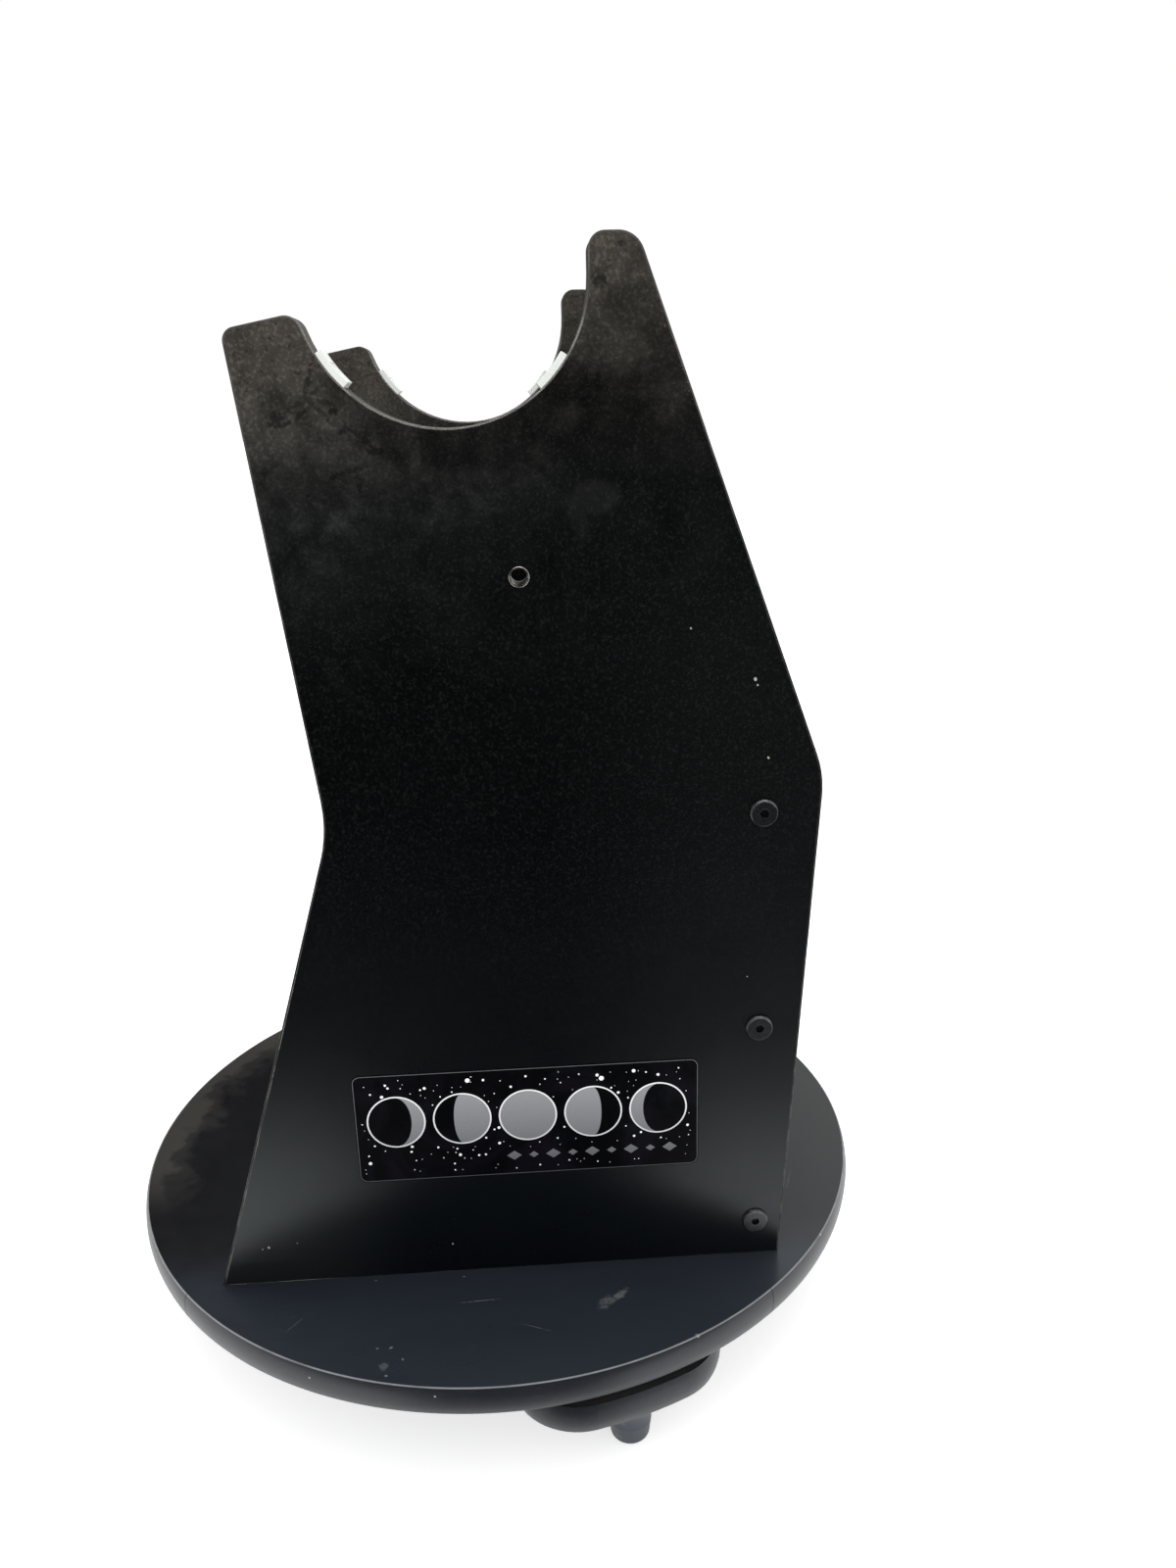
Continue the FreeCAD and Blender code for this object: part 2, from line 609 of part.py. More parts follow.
nut = nut.cut(cyl(PIVOT_R, 40, V(0, 0, z_nut - 10))).fuse(collar)
nut = nut.removeSplitter()
save("pivot_locknut", nut)
save("locknut_insert", cyl(6.6, 2.6, V(0, 0, z_nut + NUT_H)).cut(
    cyl(PIVOT_R, 20, V(0, 0, z_nut))))
bolt_head = hex_prism(HEX_AF, 6.4, V(0, 0, Z_G0 - WASHER_T - 6.4), V(0, 0, 1))
bolt = bolt_head.fuse(cyl(PIVOT_R, z_end - (Z_G0 - WASHER_T) - 1.0,
                          V(0, 0, Z_G0 - WASHER_T)))
bolt = bolt.fuse(cone(PIVOT_R, PIVOT_R - 1.0, 1.0, V(0, 0, z_end - 1.0)))
bolt = bolt.removeSplitter()
save("pivot_bolt", bolt)

print(len(written), "nodes")
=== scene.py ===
import bpy
import bmesh
import math
import random
from mathutils import Vector, Matrix


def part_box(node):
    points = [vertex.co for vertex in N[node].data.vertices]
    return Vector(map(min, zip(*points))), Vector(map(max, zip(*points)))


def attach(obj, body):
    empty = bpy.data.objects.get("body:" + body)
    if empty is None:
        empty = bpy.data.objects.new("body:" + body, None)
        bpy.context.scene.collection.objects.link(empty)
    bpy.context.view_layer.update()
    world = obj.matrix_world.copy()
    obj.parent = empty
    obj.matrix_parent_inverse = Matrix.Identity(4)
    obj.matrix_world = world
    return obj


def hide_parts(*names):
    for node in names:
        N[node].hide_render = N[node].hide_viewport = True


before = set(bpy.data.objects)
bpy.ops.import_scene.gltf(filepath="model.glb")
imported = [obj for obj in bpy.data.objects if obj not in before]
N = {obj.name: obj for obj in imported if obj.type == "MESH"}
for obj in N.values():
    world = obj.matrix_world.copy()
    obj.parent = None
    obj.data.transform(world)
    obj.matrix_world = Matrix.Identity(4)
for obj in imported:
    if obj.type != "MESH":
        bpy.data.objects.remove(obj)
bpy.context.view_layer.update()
MM = 0.001
SCENE = bpy.context.scene
SCENE.view_settings.view_transform = "Standard"

Z_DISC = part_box("rocker_base_board")[1].z            # top of the rocker base
Y_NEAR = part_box("side_panel_near")[0].y              # outer face of the near panel

# ------------------------------------------------------------------ camera
F, PITCH, YAW, ROLL = 1204.76, 0.308747, 0.055415, -0.025012
fwd = Vector((math.sin(YAW) * math.cos(PITCH), math.cos(YAW) * math.cos(PITCH),
              -math.sin(PITCH)))
right = Vector((math.cos(YAW), -math.sin(YAW), 0.0))
up = right.cross(fwd)
r2 = right * math.cos(ROLL) + up * math.sin(ROLL)
u2 = -right * math.sin(ROLL) + up * math.cos(ROLL)
cam_data = bpy.data.cameras.new("camera")
cam = bpy.data.objects.new("camera", cam_data)
SCENE.collection.objects.link(cam)
cam_data.sensor_width = 36.0
cam_data.lens = 36.0 * F / 1600.0
cam_data.clip_start, cam_data.clip_end = 0.05, 100.0
m = Matrix((( r2.x, u2.x, -fwd.x, 0.02958),
            ( r2.y, u2.y, -fwd.y, -0.79786),
            ( r2.z, u2.z, -fwd.z, 0.52899 + Z_DISC),
            ( 0, 0, 0, 1)))
cam.matrix_world = m
SCENE.camera = cam


# ----------------------------------------------------------- node builder
class Mat:
    """A small builder for node materials."""

    def __init__(self, name):
        self.m = bpy.data.materials.new(name)
        self.m.use_nodes = True
        self.nt = self.m.node_tree
        self.nt.nodes.clear()
        self.out = self.nt.nodes.new("ShaderNodeOutputMaterial")
        self.b = self.nt.nodes.new("ShaderNodeBsdfPrincipled")
        self.nt.links.new(self.b.outputs[0], self.out.inputs[0])
        tc = self.nt.nodes.new("ShaderNodeTexCoord")
        self.co = tc.outputs["Object"]
        sep = self.nt.nodes.new("ShaderNodeSeparateXYZ")
        self.link(self.co, sep.inputs[0])
        self.x, self.y, self.z = sep.outputs[0], sep.outputs[1], sep.outputs[2]

    def link(self, a, b):
        self.nt.links.new(a, b)

    def put(self, sock, v):
        if isinstance(v, bpy.types.NodeSocket):
            self.link(v, sock)
        elif isinstance(v, (tuple, list)):
            if len(v) == 3 and sock.type == "RGBA":
                v = (v[0], v[1], v[2], 1.0)
            sock.default_value = v
        else:
            sock.default_value = v

    def math(self, op, a, b=0.0, c=0.0, clamp=False):
        n = self.nt.nodes.new("ShaderNodeMath")
        n.operation = op
        n.use_clamp = clamp
        self.put(n.inputs[0], a)
        self.put(n.inputs[1], b)
        self.put(n.inputs[2], c)
        return n.outputs[0]

    def add(self, a, b):
        return self.math("ADD", a, b)

    def sub(self, a, b):
        return self.math("SUBTRACT", a, b)

    def mul(self, a, b):
        return self.math("MULTIPLY", a, b)

    def clamp(self, a):
        return self.math("ADD", a, 0.0, clamp=True)

    def step(self, v, lo, hi, a=0.0, b=1.0):
        """Smooth step of v from lo..hi to a..b."""
        n = self.nt.nodes.new("ShaderNodeMapRange")
        n.interpolation_type = "SMOOTHSTEP"
        self.put(n.inputs["Value"], v)
        n.inputs["From Min"].default_value = lo
        n.inputs["From Max"].default_value = hi
        n.inputs["To Min"].default_value = a
        n.inputs["To Max"].default_value = b
        return n.outputs[0]

    def lin(self, v, lo, hi, a=0.0, b=1.0):
        n = self.nt.nodes.new("ShaderNodeMapRange")
        n.clamp = True
        self.put(n.inputs["Value"], v)
        n.inputs["From Min"].default_value = lo
        n.inputs["From Max"].default_value = hi
        n.inputs["To Min"].default_value = a
        n.inputs["To Max"].default_value = b
        return n.outputs[0]

    def scaled(self, sx, sy, sz, off=(0, 0, 0), rot=(0, 0, 0), src=None):
        n = self.nt.nodes.new("ShaderNodeMapping")
        self.put(n.inputs["Vector"], src or self.co)
        n.inputs["Scale"].default_value = (sx, sy, sz)
        n.inputs["Location"].default_value = off
        n.inputs["Rotation"].default_value = rot
        return n.outputs[0]

    def noise(self, scale, detail=4.0, rough=0.5, dist=0.0, vec=None, w=None):
        n = self.nt.nodes.new("ShaderNodeTexNoise")
        self.put(n.inputs["Vector"], vec or self.co)
        n.inputs["Scale"].default_value = scale
        n.inputs["Detail"].default_value = detail
        n.inputs["Roughness"].default_value = rough
        n.inputs["Distortion"].default_value = dist
        return n.outputs["Fac"]

    def voronoi(self, scale, feature="F1", vec=None, rand=1.0, out="Distance"):
        n = self.nt.nodes.new("ShaderNodeTexVoronoi")
        n.feature = feature
        self.put(n.inputs["Vector"], vec or self.co)
        n.inputs["Scale"].default_value = scale
        n.inputs["Randomness"].default_value = rand
        return n.outputs[out]

    def wave(self, scale, dist=0.0, axis="X", vec=None, detail=2.0, dscale=1.0):
        n = self.nt.nodes.new("ShaderNodeTexWave")
        n.bands_direction = axis
        self.put(n.inputs["Vector"], vec or self.co)
        n.inputs["Scale"].default_value = scale
        n.inputs["Distortion"].default_value = dist
        n.inputs["Detail"].default_value = detail
        n.inputs["Detail Scale"].default_value = dscale
        return n.outputs["Fac"]

    def mix(self, fac, a, b):
        n = self.nt.nodes.new("ShaderNodeMix")
        n.data_type = "RGBA"
        self.put(n.inputs[0], fac)
        self.put(n.inputs[6], a)
        self.put(n.inputs[7], b)
        return n.outputs[2]

    def fmix(self, fac, a, b):
        n = self.nt.nodes.new("ShaderNodeMix")
        n.data_type = "FLOAT"
        self.put(n.inputs[0], fac)
        self.put(n.inputs[2], a)
        self.put(n.inputs[3], b)
        return n.outputs[0]

    def ramp(self, fac, stops):
        n = self.nt.nodes.new("ShaderNodeValToRGB")
        self.put(n.inputs[0], fac)
        e = n.color_ramp.elements
        while len(e) < len(stops):
            e.new(0.5)
        for el, (p, c) in zip(e, stops):
            el.position = p
            el.color = (c[0], c[1], c[2], 1.0)
        return n.outputs[0]

    def dist_to(self, x, z, sx=1.0, sz=1.0, angle=0.0, warp=None, axes="xz"):
        """Distance in the plane from a point, with stretch and rotation."""
        a = self.x
        b = self.z if axes == "xz" else self.y
        dx, dz = self.sub(a, x), self.sub(b, z)
        c, s = math.cos(angle), math.sin(angle)
        u = self.add(self.mul(dx, c / sx), self.mul(dz, s / sx))
        v = self.add(self.mul(dx, -s / sz), self.mul(dz, c / sz))
        d = self.math("SQRT", self.add(self.mul(u, u), self.mul(v, v)))
        if warp is not None:
            d = self.add(d, warp)
        return d

    def bump(self, height, strength=0.2, distance=0.0005, normal=None):
        n = self.nt.nodes.new("ShaderNodeBump")
        n.inputs["Strength"].default_value = strength
        n.inputs["Distance"].default_value = distance
        self.put(n.inputs["Height"], height)
        if normal is not None:
            self.link(normal, n.inputs["Normal"])
        return n.outputs[0]

    def edge(self, radius=0.001, power=1.0):
        """1 on convex edges, 0 on flats, from the pointiness-free bevel trick."""
        bev = self.nt.nodes.new("ShaderNodeBevel")
        bev.samples = 4
        bev.inputs["Radius"].default_value = radius
        geo = self.nt.nodes.new("ShaderNodeNewGeometry")
        dot = self.nt.nodes.new("ShaderNodeVectorMath")
        dot.operation = "DOT_PRODUCT"
        self.link(bev.outputs[0], dot.inputs[0])
        self.link(geo.outputs["Normal"], dot.inputs[1])
        return self.step(dot.outputs["Value"], 0.995, 0.90, 0.0, 1.0)

    def finish(self, color, rough, normal=None, metallic=0.0, spec=0.5, coat=0.0,
               coat_rough=0.1, sss=0.0, sss_r=None):
        self.put(self.b.inputs["Base Color"], color)
        self.put(self.b.inputs["Roughness"], rough)
        self.b.inputs["Metallic"].default_value = metallic
        self.b.inputs["Specular IOR Level"].default_value = spec
        self.b.inputs["Coat Weight"].default_value = coat
        self.b.inputs["Coat Roughness"].default_value = coat_rough
        if sss:
            self.b.inputs["Subsurface Weight"].default_value = sss
            self.b.inputs["Subsurface Radius"].default_value = sss_r or (1, 1, 1)
            self.b.inputs["Subsurface Scale"].default_value = 0.002
        if normal is not None:
            self.link(normal, self.b.inputs["Normal"])
        return self.m


def srgb(r, g, b):
    def f(c):
        c /= 255.0
        return c / 12.92 if c <= 0.04045 else ((c + 0.055) / 1.055) ** 2.4
    return (f(r), f(g), f(b))


# ------------------------------------------------------------- materials
def melamine(name, side):
    """Black satin melamine. side: near, far, brace, disc or ground."""
    q = Mat(name)
    cloud = q.noise(7.0, 5.0, 0.6)
    cloud2 = q.noise(24.0, 5.0, 0.62, 0.5)
    blot = q.noise(75.0, 5.0, 0.6, 0.4)
    grit = q.noise(520.0, 2.0, 0.5)
    grit2 = q.voronoi(330.0)
    color = q.mix(q.step(cloud, 0.35, 0.7), (0.0004, 0.0006, 0.0006), (0.0010, 0.0013, 0.0013))
    speck = q.noise(560.0, 2.0, 0.6)
    color = q.mix(q.step(speck, 0.50, 0.72, 0.0, 0.42), color, (0.0140, 0.0150, 0.0148))
    rough = q.add(0.29, q.mul(q.sub(cloud2, 0.5), 0.12))
    height = q.mul(q.noise(300.0, 3.0, 0.5), 0.5)
    h = q.sub(q.z, Z_DISC)
    # painted cool light: towards the bottom the colour turns blue, standing in for cool light from the
    # front
    color = q.mix(q.step(h, 0.36, 0.08), color, (0.0016, 0.0026, 0.0044))
    q.b.inputs["Specular Tint"].default_value = (0.90, 0.97, 1.0, 1.0)
    if side in ("near", "far"):
        # dust settled towards the horns, thinning downwards; the rear side,
        # -X, has more of it
        lean = q.mul(q.x, -0.40)
        zz = q.add(q.add(h, lean), q.mul(q.sub(cloud, 0.5), 0.12))
        zz = q.add(zz, q.mul(q.sub(cloud2, 0.5), 0.13))
        zz = q.add(zz, q.mul(q.sub(blot, 0.5), 0.07))
        light = q.step(zz, 0.36, 0.60)
        heavy = q.step(zz, 0.475, 0.615)
        film = q.add(q.mul(light, 0.105), q.mul(heavy, 0.42))
        film = q.mul(film, q.add(0.62, q.mul(blot, 0.76)))
        # pale grains of dust in the heavy part, and dark pits between them
        grain = q.mul(q.step(grit, 0.50, 0.66), q.add(0.045, heavy))
        film = q.add(film, q.mul(grain, 0.34))
        clump = q.mul(q.step(q.noise(210.0, 4.0, 0.7), 0.56, 0.68), heavy)
        film = q.add(film, q.mul(clump, 0.20))
        pits = q.mul(q.step(q.noise(330.0, 3.0, 0.6), 0.44, 0.34), heavy)
        film = q.mul(film, q.sub(1.0, q.mul(pits, 0.45)))
        if side == "near":
            # lighter rubs left by a hand, and the marks of dried drops
            wob = q.mul(q.sub(q.noise(170.0, 5.0, 0.68), 0.5), 0.95)
            s1 = q.step(q.dist_to(0.072, Z_DISC + 0.4835, 0.017, 0.0105, 0.05, wob), 1.0, 0.62)
            s2 = q.step(q.dist_to(0.0635, Z_DISC + 0.472, 0.0062, 0.0125, 0.25, wob), 1.0, 0.55)
            s3 = q.step(q.dist_to(0.008, Z_DISC + 0.497, 0.0100, 0.0042, 0.0, wob), 1.0, 0.55)
            s4 = q.step(q.dist_to(0.046, Z_DISC + 0.508, 0.006, 0.010, 0.4, wob), 1.1, 0.4)
            s5 = q.step(q.dist_to(-0.022, Z_DISC + 0.503, 0.018, 0.012, 0.3, wob), 1.3, 0.2)
            rub = q.math("MAXIMUM", s1, q.mul(s2, 0.8))
            rub = q.math("MAXIMUM", rub, q.mul(s3, 0.75))
            rub = q.math("MAXIMUM", rub, q.mul(s4, 0.5))
            rub = q.math("MAXIMUM", rub, q.mul(s5, 0.35))
            film = q.add(film, q.mul(q.mul(rub, q.add(0.55, q.mul(blot, 0.9))), 0.055))
            # places wiped dark
            ragged = q.mul(q.sub(q.noise(260.0, 5.0, 0.75), 0.5), 2.6)
            d = None
            for (cx, cz, sx, sz, an, k) in (
                    (0.0683, 0.537, 0.0026, 0.0125, 0.03, 0.42),
                    (0.0750, 0.542, 0.0016, 0.008, -0.05, 0.42),
                    (-0.0720, 0.543, 0.0016, 0.0125, -0.30, 0.5),
                    (-0.0745, 0.536, 0.0100, 0.0016, 0.55, 0.42),
                    (-0.0690, 0.533, 0.0016, 0.0090, 0.75, 0.42),
                    (-0.0640, 0.5345, 0.0060, 0.0014, -0.30, 0.4),
                    (-0.0765, 0.529, 0.0014, 0.0075, -0.9, 0.4),
                    (-0.0600, 0.530, 0.0026, 0.0022, 0.0, 0.6),
                    (-0.0890, 0.527, 0.0052, 0.0046, 0.0, 0.55),
                    (-0.0850, 0.5245, 0.0060, 0.0012, 0.3, 0.6),
                    (-0.0470, 0.517, 0.0115, 0.0018, -0.7, 0.45),
                    (-0.0400, 0.5105, 0.0060, 0.0026, -0.2, 0.6),
                    (-0.0550, 0.5205, 0.0040, 0.0022, 0.4, 0.55),
                    (-0.0560, 0.500, 0.0110, 0.0018, 0.3, 0.45),
                    (-0.0500, 0.494, 0.0018, 0.0060, 0.2, 0.4),
                    (-0.0700, 0.486, 0.0100, 0.0016, -0.4, 0.35),
                    (0.0765, 0.589, 0.0045, 0.0038, 0.0, 0.55),
                    (0.0880, 0.606, 0.0022, 0.0016, 0.0, 0.6),
                    (-0.0300, 0.507, 0.0040, 0.0160, 0.6, 0.3)):
                e = q.mul(q.step(q.dist_to(cx, Z_DISC + cz, sx, sz, an, ragged), 1.15, 0.55), k)
                d = e if d is None else q.math("MAXIMUM", d, e)
            film = q.mul(film, q.sub(1.0, d))
            # the hollow under the cradle is kept cleaner by the tube's bearing
            clean = q.step(q.dist_to(0.012, Z_DISC + 0.535, 0.070, 0.036, -0.1,
                                     q.mul(q.sub(cloud2, 0.5), 0.9)), 1.5, 0.5)
            film = q.mul(film, q.sub(1.0, q.mul(clean, 0.62)))
            # faint run marks
            runs = q.noise(60.0, 3.0, 0.6, vec=q.scaled(2.2, 1, 0.18))
            film = q.add(film, q.mul(q.mul(q.step(runs, 0.55, 0.72), light), 0.035))
            # painted reflection of the pale floor: the lower front of the panel and, more strongly,
            # its lower rear corner are lightened through the dust film; the rear corner is thinned
            # again just above the disc
            painted_floor_reflection_front = q.mul(q.step(q.x, 0.03, 0.17), q.step(h, 0.54, 0.40))
            film = q.add(film, q.mul(painted_floor_reflection_front, 0.040))
            # painted reflection: the lower rear corner lightened as if mirroring the floor
            rear = q.mul(q.step(q.x, -0.04, -0.16), q.step(h, 0.20, 0.02))
            film = q.add(film, q.mul(rear, 0.17))
            base = q.mul(q.step(h, 0.018, 0.013), q.step(q.x, -0.10, -0.15))
            film = q.mul(film, q.sub(1.0, q.mul(base, 0.30)))
        film = q.clamp(q.mul(film, 0.86))
        dustc = q.mix(q.noise(160.0, 3.0, 0.6), (0.086, 0.069, 0.050), (0.126, 0.107, 0.085))
        # painted cool light: below about 0.44 m the dust colour turns blue-grey
        dustc = q.mix(q.step(h, 0.44, 0.56), (0.075, 0.082, 0.080), dustc)
        color = q.mix(film, color, dustc)
        rough = q.fmix(film, rough, 0.62)
        if side == "near":
            # rust-brown grains along the front horn's edge
            band = q.step(q.sub(q.x, q.mul(q.sub(h, 0.549), -0.33)), 0.103, 0.118)
            band = q.mul(band, q.mul(q.step(h, 0.52, 0.545), q.step(h, 0.61, 0.585)))
            rust = q.mul(q.step(grit2, 0.20, 0.10), band)
            color = q.mix(q.mul(rust, 0.8), color, (0.115, 0.062, 0.028))
            # chips down to the pale core
            chip = None
            for (cx, cz, r) in ((0.1596, 0.3829, 0.00085), (0.1608, 0.3795, 0.00045),
                                (0.1678, 0.3371, 0.00055), (0.1233, 0.4127, 0.0005),
                                (-0.0292, 0.0209, 0.0005), (-0.145, 0.0265, 0.0007),
                                (-0.149, 0.0255, 0.0004), (-0.127, 0.0285, 0.0004),
                                (0.158, 0.200, 0.0004)):
                e = q.step(q.dist_to(cx, Z_DISC + cz, r, r * 1.25, 0.3,
                                     q.mul(q.sub(grit, 0.5), 1.6)), 1.1, 0.7)
                chip = e if chip is None else q.math("MAXIMUM", chip, e)
            color = q.mix(chip, color, (0.36, 0.34, 0.30))
            rough = q.fmix(chip, rough, 0.8)
            height = q.sub(height, q.mul(chip, 1.5))
            # a faint vertical scrape
            sc = q.step(q.dist_to(0.1595, Z_DISC + 0.413, 0.0006, 0.017, 0.02), 1.1, 0.6)
            color = q.mix(q.mul(sc, 0.5), color, (0.0022, 0.0025, 0.0028))
    if side in ("brace", "ground"):
        # dust film, which on the ground board starts at 0.45: partly real dust, partly painted light
        # that lightens the board's shaded top in the gap under the disc
        film = q.add(0.06 if side == "brace" else 0.45, q.mul(q.step(cloud2, 0.42, 0.72), 0.12))
        film = q.add(film, q.mul(q.step(grit, 0.60, 0.72), 0.05))
        color = q.mix(film, color, (0.080, 0.076, 0.068))
        rough = q.fmix(film, rough, 0.6)
    if side == "disc":
        rr = q.math("SQRT", q.add(q.mul(q.x, q.x), q.mul(q.y, q.y)))
        base = q.mix(cloud2, (0.0062, 0.0062, 0.0078), (0.0096, 0.0094, 0.0112))
        # painted light: in front of the panel the disc is lightened and tinted blue, less so towards
        # -X, standing in for cool light falling from the front
        front_light_noise = q.noise(9.0, 4.0, 0.6, 0.4, vec=q.scaled(1.0, 5.0, 1.0))
        painted_front_light = q.mul(q.step(q.y, -0.120, -0.175), q.add(0.62, q.mul(front_light_noise, 0.76)))
        base = q.mix(q.mul(painted_front_light, q.step(q.x, -0.26, -0.05, 0.62, 1.0)), base, (0.0205, 0.0262, 0.0355))
        # thin brown-grey dust, thicker round the rear rim; towards the front, +X, the same colour is
        # laid on as a painted reflection that lightens that side of the disc
        film = q.mul(q.step(q.add(q.x, q.mul(q.sub(cloud2, 0.5), 0.12)), 0.10, 0.26), 0.10)
        lw = q.add(rr, q.mul(q.sub(q.noise(34.0, 4.0, 0.6), 0.5), 0.075))
        rim = q.mul(q.step(lw, 0.238, 0.248), q.step(q.x, -0.15, -0.20))
        rim2 = q.mul(q.step(lw, 0.222, 0.236), q.step(q.x, -0.15, -0.20))
        rim = q.mul(q.add(q.mul(rim, 0.6), q.mul(rim2, 0.4)), q.step(q.y, -0.10, -0.03))
        film = q.add(film, q.mul(rim, 0.34))
        film = q.add(film, q.mul(q.step(grit, 0.58, 0.72), 0.022))
        film = q.add(film, q.mul(q.step(blot, 0.52, 0.70), 0.014))
        color = q.mix(q.clamp(film), base, (0.092, 0.084, 0.070))
        rough = q.add(q.fmix(film, 0.30, 0.5), q.mul(q.sub(cloud2, 0.5), 0.16))
        # scuffs, a print, flecks and a scratch
        wob = q.mul(q.sub(q.noise(300.0, 5.0, 0.7), 0.5), 2.2)
        mark = None
        for (cx, cy, sx, sy, an, k) in (
                (0.0745, -0.1935, 0.0080, 0.0030, 0.75, 0.55),
                (0.0665, -0.1975, 0.0060, 0.0042, 0.35, 0.45),
                (0.0640, -0.2030, 0.0035, 0.0020, 0.1, 0.35),
                (-0.0672, -0.2394, 0.0030, 0.0034, 0.0, 0.40),
                (-0.0722, -0.2246, 0.0010, 0.0009, 0.0, 0.8),
                (-0.0641, -0.2246, 0.0013, 0.0008, 0.4, 0.8),
                (-0.0563, -0.2344, 0.0008, 0.0012, 0.0, 0.8),
                (-0.0649, -0.2462, 0.0012, 0.0008, 0.0, 0.8),
                (-0.0130, -0.1907, 0.0160, 0.00045, 0.05, 0.5),
                (0.0200, -0.2150, 0.0110, 0.0004, -0.4, 0.3),
                (-0.1250, -0.2010, 0.0090, 0.0004, 0.9, 0.3),
                (-0.0230, -0.1680, 0.0008, 0.0005, 0.0, 0.9),
                (-0.0790, -0.1665, 0.0009, 0.0005, 0.0, 0.9),
                (0.1178, -0.2306, 0.0012, 0.0008, 0.0, 0.9),
                (0.2050, -0.0900, 0.0120, 0.0005, 1.2, 0.3),
                (0.2300, 0.0400, 0.0007, 0.0090, 0.2, 0.3),
                (0.0500, 0.0500, 0.0200, 0.0005, 0.3, 0.3),
                (-0.1000, 0.0700, 0.0120, 0.0006, -0.5, 0.3)):
            e = q.mul(q.step(q.dist_to(cx, cy, sx, sy, an, wob, axes="xy"), 1.15, 0.45), k)
            mark = e if mark is None else q.math("MAXIMUM", mark, e)
        mark = q.mul(mark, q.step(q.z, Z_DISC - 0.002, Z_DISC - 0.0005))
        mark = q.mul(mark, q.step(q.noise(620.0, 3.0, 0.6), 0.36, 0.56, 0.35, 1.0))
        color = q.mix(mark, color, (0.19, 0.195, 0.20))
        rough = q.fmix(mark, rough, 0.65)
    wear = q.edge(0.0007)
    color = q.mix(q.mul(wear, q.step(q.noise(90.0, 3.0, 0.6), 0.35, 0.65, 0.15, 0.75)), color,
                  (0.085, 0.084, 0.080))
    if side in ("near", "far"):
        # the lower rear arris is rubbed through to the pale core in places
        rub = q.mul(q.mul(wear, q.step(q.x, -0.10, -0.115)), q.step(h, 0.30, 0.26))
        rub = q.mul(rub, q.step(q.noise(48.0, 4.0, 0.65), 0.42, 0.56, 0.25, 1.0))
        color = q.mix(rub, color, (0.42, 0.41, 0.38))
    n = q.bump(height, 0.06, 0.0002)
    return q.finish(color, rough, n, spec=0.44)


def banding(name):
    q = Mat(name)
    fine = q.noise(700.0, 3.0, 0.6)
    cloud = q.noise(30.0, 4.0, 0.6)
    h = q.sub(q.z, Z_DISC)
    dust = q.clamp(q.add(q.step(q.add(h, q.mul(cloud, 0.06)), 0.40, 0.62, 0.0, 0.55),
                         q.mul(q.step(q.noise(420.0), 0.55, 0.7), 0.18)))
    color = q.mix(cloud, (0.005, 0.0055, 0.006), (0.012, 0.012, 0.012))
    color = q.mix(dust, color, (0.090, 0.080, 0.066))
    wear = q.edge(0.0008)
    broken = q.step(q.noise(70.0, 4.0, 0.65), 0.40, 0.62, 0.10, 0.9)
    color = q.mix(q.mul(wear, broken), color, (0.17, 0.165, 0.155))
    # the arris of the cradle is rubbed brightest
    cradle = q.mul(q.step(q.math("ABSOLUTE", q.x), 0.082, 0.074), q.step(h, 0.51, 0.52))
    cradle = q.mul(cradle, q.step(h, 0.585, 0.565))
    color = q.mix(q.mul(q.mul(wear, cradle), q.add(0.45, q.mul(broken, 0.5))), color,
                  (0.52, 0.50, 0.46))
    rough = q.fmix(dust, q.add(0.36, q.mul(cloud, 0.20)), 0.7)
    return q.finish(color, rough, q.bump(fine, 0.14, 0.0002), spec=0.28)


def vinyl(name, lip=None):
    """Black vinyl edge moulding; lip is the radius of its scuffed lip."""
    q = Mat(name)
    fine = q.noise(650.0, 3.0, 0.6)
    cloud = q.noise(18.0, 4.0, 0.6)
    scr = q.noise(240.0, 3.0, 0.6, vec=q.scaled(1, 1, 6))
    color = q.mix(cloud, (0.0092, 0.0120, 0.0175), (0.0135, 0.0168, 0.0230))
    rough = q.add(0.31, q.mul(cloud, 0.12))
    film = q.mul(q.step(scr, 0.56, 0.74), 0.16)
    color = q.mix(film, color, (0.11, 0.11, 0.108))
    if lip:
        rr = q.math("SQRT", q.add(q.mul(q.x, q.x), q.mul(q.y, q.y)))
        on = q.mul(q.step(rr, lip + 0.0012, lip + 0.0004),
                   q.step(q.z, Z_DISC - 0.0004, Z_DISC + 0.0001))
        brk = q.step(q.noise(55.0, 4.0, 0.6), 0.25, 0.60, 0.62, 1.0)
        color = q.mix(q.mul(on, brk), color, (0.235, 0.240, 0.250))
        rough = q.fmix(on, rough, 0.55)
        chip = None
        for (a, zz, r) in ((-139.0, 0.001, 0.0012), (-62.9, 0.0005, 0.0014), (-115.0, -0.006, 0.0008),
                           (-98.0, -0.0045, 0.0008), (-35.0, 0.0, 0.0012), (-14.0, 0.0, 0.0013)):
            ax, ay = math.cos(math.radians(a)), math.sin(math.radians(a))
            u = q.sub(q.mul(q.x, -ay), q.mul(q.y, -ax))
            v = q.sub(q.z, Z_DISC + zz)
            d = q.math("SQRT", q.add(q.mul(u, u), q.mul(v, v)))
            side = q.step(q.add(q.mul(q.x, ax), q.mul(q.y, ay)), 0.10, 0.20)
            e = q.mul(q.step(q.add(d, q.mul(q.sub(fine, 0.5), r)), r, r * 0.6), side)
            chip = e if chip is None else q.math("MAXIMUM", chip, e)
        color = q.mix(q.mul(chip, 0.8), color, (0.30, 0.31, 0.32))
    return q.finish(color, rough, q.bump(fine, 0.07, 0.0002), spec=0.46)


